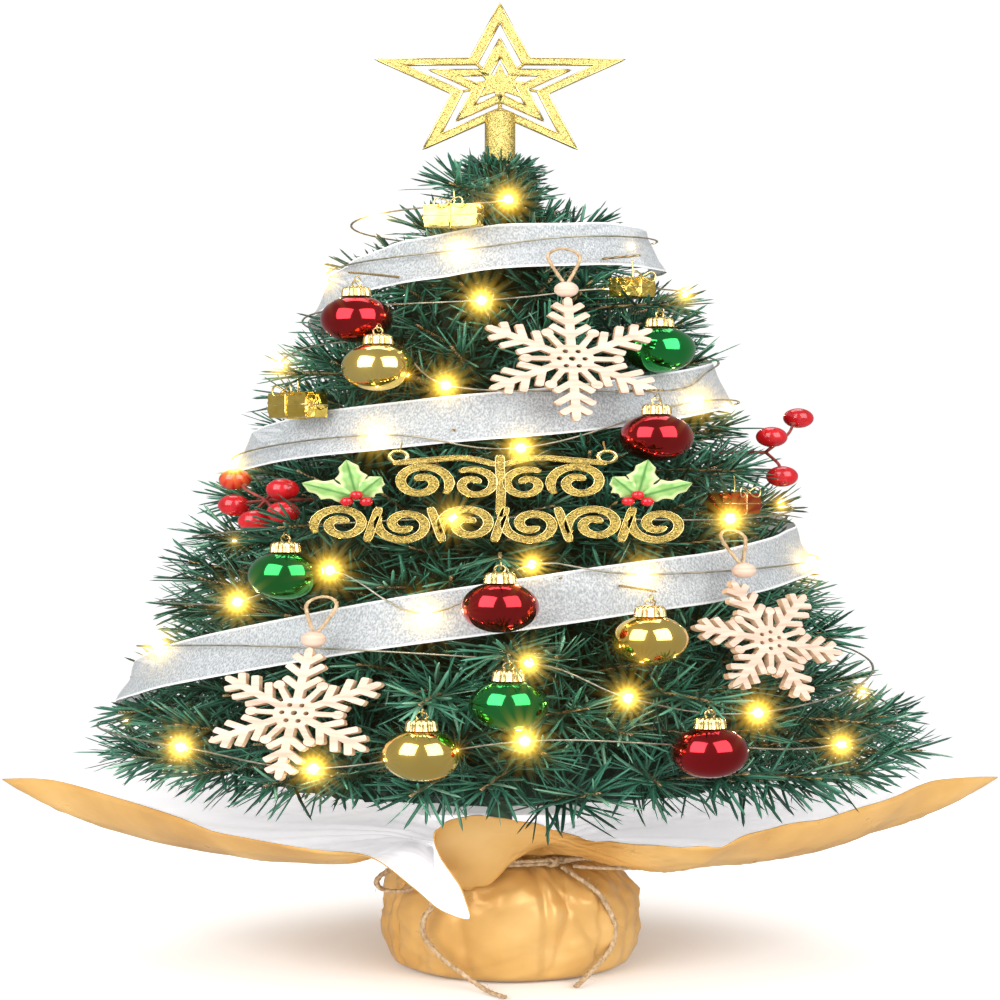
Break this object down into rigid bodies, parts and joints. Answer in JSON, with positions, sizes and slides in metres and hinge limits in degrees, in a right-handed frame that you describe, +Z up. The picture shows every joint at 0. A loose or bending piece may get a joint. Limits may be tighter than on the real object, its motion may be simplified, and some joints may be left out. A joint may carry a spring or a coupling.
{
  "type": "artificial tabletop tree",
  "caption": "Small artificial tree in a gathered paper-wrapped base, with a star topper, a spiral ribbon, fairy lights and hanging ornaments.",
  "frame": {"origin": "on the trunk's axis, at the middle of the flat underside of the wrapped base", "axes": "+Z up along the trunk; the decorated front of the tree faces -Y, +X to the right seen from the front"},
  "size_m": [0.406, 0.3889, 0.6],
  "materials": {
    "needle_green": "satin",
    "trunk_green": "matte",
    "gold_glitter": "gloss",
    "gold_paper": "satin",
    "pot_plastic": "matte",
    "plaster": "matte",
    "organza": "satin",
    "light_wire": "satin",
    "ball_red": "gloss",
    "ball_gold": "gloss",
    "ball_green": "gloss",
    "cap_gold": "polished",
    "pale_wood": "matte",
    "holly_green": "satin",
    "berry_red": "gloss",
    "gold_foil": "polished",
    "red_foil": "polished",
    "jute": "matte",
    "case_plastic": "satin",
    "switch_plastic": "matte",
    "cell_jacket": "gloss"
  },
  "bodies": {
    "tree": {"trunk_pole": "trunk_green", "base_pot": "pot_plastic", "plaster_weight": "plaster", "branch_tier_1": "needle_green", "branch_tier_2": "needle_green", "branch_tier_3": "needle_green", "branch_tier_4": "needle_green", "branch_tier_5": "needle_green", "branch_tier_6": "needle_green", "wrapper_paper": "gold_paper", "organza_ribbon": "organza", "light_wire": "light_wire", "battery_case": "case_plastic", "battery_cell_front": "cell_jacket", "battery_cell_rear": "cell_jacket", "berry_pick_left": "berry_red", "berry_pick_right": "berry_red", "twine_binding": "jute", "twine_loop_left": "jute", "twine_loop_right": "jute", "twine_tail_left": "jute", "twine_tail_right": "jute"},
    "star": {"star_topper": "gold_glitter"},
    "battery_lid": {"battery_lid": "case_plastic"},
    "power_switch": {"power_switch": "switch_plastic"},
    "sign": {"hanging_sign": "gold_glitter", "holly_left": "holly_green", "holly_right": "holly_green"},
    "ball_red_top_left": {"ball_red_top_left": "ball_red", "cap_red_top_left": "cap_gold"},
    "ball_red_upper_right": {"ball_red_upper_right": "ball_red", "cap_red_upper_right": "cap_gold"},
    "ball_red_centre": {"ball_red_centre": "ball_red", "cap_red_centre": "cap_gold"},
    "ball_red_lower_right": {"ball_red_lower_right": "ball_red", "cap_red_lower_right": "cap_gold"},
    "ball_gold_upper_left": {"ball_gold_upper_left": "ball_gold", "cap_gold_upper_left": "cap_gold"},
    "ball_gold_right": {"ball_gold_right": "ball_gold", "cap_gold_right": "cap_gold"},
    "ball_gold_lower_left": {"ball_gold_lower_left": "ball_gold", "cap_gold_lower_left": "cap_gold"},
    "ball_green_upper_right": {"ball_green_upper_right": "ball_green", "cap_green_upper_right": "cap_gold"},
    "ball_green_left": {"ball_green_left": "ball_green", "cap_green_left": "cap_gold"},
    "ball_green_lower_centre": {"ball_green_lower_centre": "ball_green", "cap_green_lower_centre": "cap_gold"},
    "snowflake_top": {"snowflake_top": "pale_wood", "bead_top": "pale_wood"},
    "snowflake_left": {"snowflake_left": "pale_wood", "bead_left": "pale_wood"},
    "snowflake_right": {"snowflake_right": "pale_wood", "bead_right": "pale_wood"},
    "gift_pack_top": {"gift_pack_top": "gold_foil"},
    "gift_pack_left": {"gift_pack_left": "gold_foil"},
    "gift_pack_upper_right": {"gift_pack_upper_right": "gold_foil"},
    "gift_pack_right": {"gift_pack_right": "red_foil"}
  },
  "joints": [
    {"name": "star_lift", "type": "slide", "parent": "tree", "child": "star", "axis": [0, 0, 1], "range_m": [0, 0.03]},
    {"name": "lid_slide", "type": "slide", "parent": "tree", "child": "battery_lid", "axis": [1, 0, 0], "range_m": [0, 0.04]},
    {"name": "switch_slide", "type": "slide", "parent": "tree", "child": "power_switch", "axis": [1, 0, 0], "range_m": [0, 0.004]},
    {"name": "sign_swing", "type": "hinge", "parent": "tree", "child": "sign", "pos_m": [0, -0.13, 0.321], "axis": [-1, 0, 0], "range_deg": [0, 15]},
    {"name": "ball_red_top_left_swing", "type": "hinge", "parent": "tree", "child": "ball_red_top_left", "pos_m": [-0.05304, -0.08168, 0.417], "axis": [-0.5446, -0.8387, 0], "range_deg": [-12, 12]},
    {"name": "ball_red_upper_right_swing", "type": "hinge", "parent": "tree", "child": "ball_red_upper_right", "pos_m": [0.05631, -0.10591, 0.348], "axis": [0.4695, -0.8829, 0], "range_deg": [-12, 12]},
    {"name": "ball_red_centre_swing", "type": "hinge", "parent": "tree", "child": "ball_red_centre", "pos_m": [0, -0.15003, 0.256], "axis": [0, -1, 0], "range_deg": [-12, 12]},
    {"name": "ball_red_lower_right_swing", "type": "hinge", "parent": "tree", "child": "ball_red_lower_right", "pos_m": [0.07113, -0.15977, 0.18], "axis": [0.4067, -0.9135, 0], "range_deg": [-12, 12]},
    {"name": "ball_gold_upper_left_swing", "type": "hinge", "parent": "tree", "child": "ball_gold_upper_left", "pos_m": [-0.04432, -0.09725, 0.388], "axis": [-0.4147, -0.91, 0], "range_deg": [-12, 12]},
    {"name": "ball_gold_right_swing", "type": "hinge", "parent": "tree", "child": "ball_gold_right", "pos_m": [0.05153, -0.14716, 0.238], "axis": [0.3305, -0.9438, 0], "range_deg": [-12, 12]},
    {"name": "ball_gold_lower_left_swing", "type": "hinge", "parent": "tree", "child": "ball_gold_lower_left", "pos_m": [-0.0261, -0.1726, 0.181], "axis": [-0.1495, -0.9888, 0], "range_deg": [-9, 12]},
    {"name": "ball_green_upper_right_swing", "type": "hinge", "parent": "tree", "child": "ball_green_upper_right", "pos_m": [0.05965, -0.07236, 0.4005], "axis": [0.6361, -0.7716, 0], "range_deg": [-12, 12]},
    {"name": "ball_green_left_swing", "type": "hinge", "parent": "tree", "child": "ball_green_left", "pos_m": [-0.07574, -0.1236, 0.2715], "axis": [-0.5225, -0.8526, 0], "range_deg": [-12, 12]},
    {"name": "ball_green_lower_centre_swing", "type": "hinge", "parent": "tree", "child": "ball_green_lower_centre", "pos_m": [0.0029, -0.16636, 0.206], "axis": [0.0175, -0.9998, 0], "range_deg": [-12, 12]},
    {"name": "snowflake_top_swing", "type": "hinge", "parent": "tree", "child": "snowflake_top", "pos_m": [0.02334, -0.09362, 0.42512], "axis": [0.2382, -0.9556, 0.1736], "range_deg": [-6, 6]},
    {"name": "snowflake_left_swing", "type": "hinge", "parent": "tree", "child": "snowflake_left", "pos_m": [-0.06252, -0.13166, 0.23016], "axis": [-0.4079, -0.8591, 0.309], "range_deg": [-6, 3]},
    {"name": "snowflake_right_swing", "type": "hinge", "parent": "tree", "child": "snowflake_right", "pos_m": [0.08432, -0.10412, 0.26616], "axis": [0.5985, -0.7391, 0.309], "range_deg": [-6, 6]},
    {"name": "gift_pack_top_swing", "type": "hinge", "parent": "tree", "child": "gift_pack_top", "pos_m": [-0.01747, -0.06755, 0.4705], "axis": [-0.2504, -0.9681, 0], "range_deg": [-10, 10]},
    {"name": "gift_pack_left_swing", "type": "hinge", "parent": "tree", "child": "gift_pack_left", "pos_m": [-0.07554, -0.07423, 0.36], "axis": [-0.7133, -0.7009, 0], "range_deg": [-10, 10]},
    {"name": "gift_pack_upper_right_swing", "type": "hinge", "parent": "tree", "child": "gift_pack_upper_right", "pos_m": [0.04958, -0.067, 0.429], "axis": [0.5948, -0.8039, 0], "range_deg": [-10, 10]},
    {"name": "gift_pack_right_swing", "type": "hinge", "parent": "tree", "child": "gift_pack_right", "pos_m": [0.08562, -0.09182, 0.303], "axis": [0.682, -0.7314, 0], "range_deg": [-10, 10]}
  ]
}
